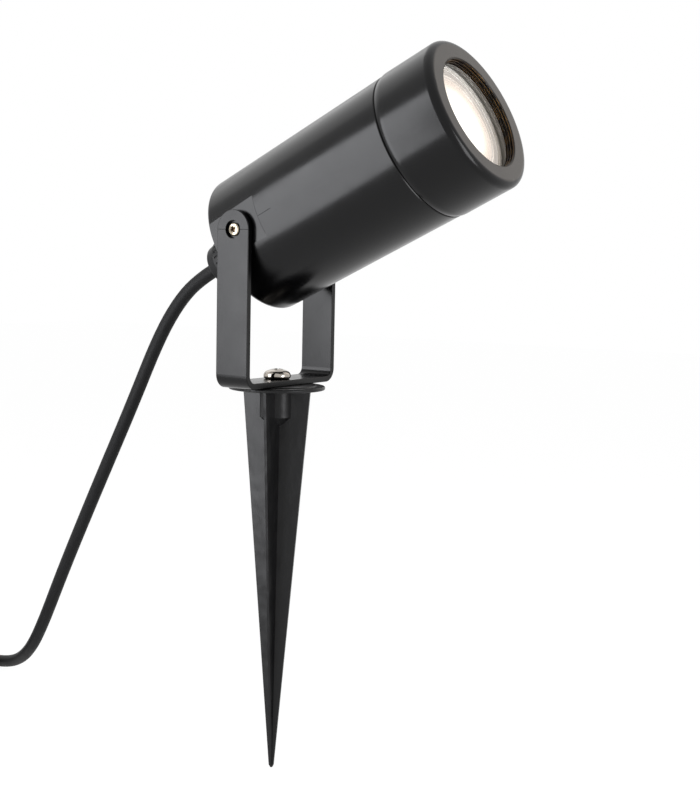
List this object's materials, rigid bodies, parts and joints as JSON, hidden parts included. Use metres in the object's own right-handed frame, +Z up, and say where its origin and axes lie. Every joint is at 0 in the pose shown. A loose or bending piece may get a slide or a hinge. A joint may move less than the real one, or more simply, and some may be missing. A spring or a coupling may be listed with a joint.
{
  "type": "garden spike spotlight",
  "caption": "Cylindrical spotlight head with a screw-on glazed bezel, tilting in a U bracket bolted to a flanged ground spike, with a mains cable from a gland at the rear.",
  "frame": {"origin": "on the spike's axis at the ground line, which is the underside of the spike's flange", "axes": "+Z up along the spike's axis, +X the way the head points, +Y along the tilt axis"},
  "size_m": [0.388, 0.0939, 0.3124],
  "materials": {
    "body_coat": "satin black powder coat on die-cast aluminium",
    "bezel_coat": "satin black powder coat on turned aluminium",
    "bracket_coat": "satin black powder coat on steel strip",
    "spike_nylon": "moulded black nylon with a slight sheen",
    "gland_nylon": "moulded black nylon",
    "washer_nylon": "thin black nylon",
    "tie_nylon": "black nylon band",
    "seal_rubber": "matt black rubber",
    "gasket_silicone": "pale translucent silicone",
    "cable_sheath": "matt black rubber sheath",
    "clear_glass": "clear toughened glass",
    "bright_steel": "bright stainless steel",
    "zinc_steel": "zinc-plated steel strip",
    "tinned_copper": "tinned copper",
    "brass": "plain brass",
    "lamp_pin_metal": "nickel-plated pins",
    "holder_ceramic": "unglazed white ceramic",
    "white_nylon": "white nylon",
    "lamp_shell_white": "white moulded plastic",
    "lamp_lens_clear": "frosted clear lens with fine rings, lit warm white",
    "led_board_white": "white-faced aluminium board",
    "led_phosphor": "yellow phosphor",
    "green_board": "green circuit board",
    "core_brown": "brown insulation",
    "core_blue": "blue insulation",
    "core_earth": "green and yellow insulation"
  },
  "bodies": {
    "spike": {"spike": "spike_nylon", "pan_bolt": "bright_steel", "threaded_insert": "brass"},
    "bracket": {"bracket": "bracket_coat", "cable": "cable_sheath", "cable_coil": "cable_sheath", "coil_tie": "tie_nylon", "end_core_live": "core_brown", "end_core_neutral": "core_blue", "end_core_earth": "core_earth", "end_ferrules": "tinned_copper"},
    "head": {"housing": "body_coat", "pivot_screws": "bright_steel", "pivot_washers": "washer_nylon", "gland_seal": "seal_rubber", "gland_body": "gland_nylon", "gland_locknut": "gland_nylon", "gland_sleeve": "seal_rubber", "gland_nut": "gland_nylon", "cable_tail": "cable_sheath", "tail_core_live": "core_brown", "tail_core_neutral": "core_blue", "tail_core_earth": "core_earth", "terminal_block": "white_nylon", "terminal_screws": "brass", "terminal_fixing_screw": "bright_steel", "holder_wire_live": "core_brown", "holder_wire_neutral": "core_blue", "earth_wire": "core_earth", "earth_lug": "tinned_copper", "earth_screw": "bright_steel", "lamp_holder": "holder_ceramic", "holder_contacts": "brass", "holder_rivets": "tinned_copper", "holder_strip": "zinc_steel", "strip_screws": "bright_steel", "neck_o_ring": "seal_rubber"},
    "lamp": {"lamp_shell": "lamp_shell_white", "lamp_lens": "lamp_lens_clear", "lamp_led_board": "led_board_white", "led_chips": "led_phosphor", "lamp_driver_board": "green_board", "lamp_pins": "lamp_pin_metal"},
    "glass_set": {"front_glass": "clear_glass", "glass_gasket": "gasket_silicone"},
    "bezel": {"front_bezel": "bezel_coat"}
  },
  "joints": [
    {"name": "bracket_pan", "type": "hinge", "parent": "spike", "child": "bracket", "pos_m": [0, 0, 0], "axis": [0, 0, 1], "range_deg": [-180, 180]},
    {"name": "head_tilt", "type": "hinge", "parent": "bracket", "child": "head", "pos_m": [0, 0, 0.068], "axis": [0, -1, 0], "range_deg": [-46, 64], "deforming": ["cable"]},
    {"name": "lamp_twist", "type": "hinge", "parent": "head", "child": "lamp", "pos_m": [0, 0, 0.068], "axis": [0.8988, 0, 0.4384], "range_deg": [0, 25]},
    {"name": "glass_lift", "type": "slide", "parent": "head", "child": "glass_set", "axis": [0.8988, 0, 0.4384], "range_m": [0, 0.0045]},
    {"name": "bezel_turn", "type": "hinge", "parent": "glass_set", "child": "bezel", "pos_m": [0, 0, 0.068], "axis": [0.8988, 0, 0.4384], "range_deg": [0, 1080]}
  ],
  "couplings": [
    {"joint": "glass_lift", "follows": "bezel_turn", "m_per_rad": 0.00023873}
  ]
}
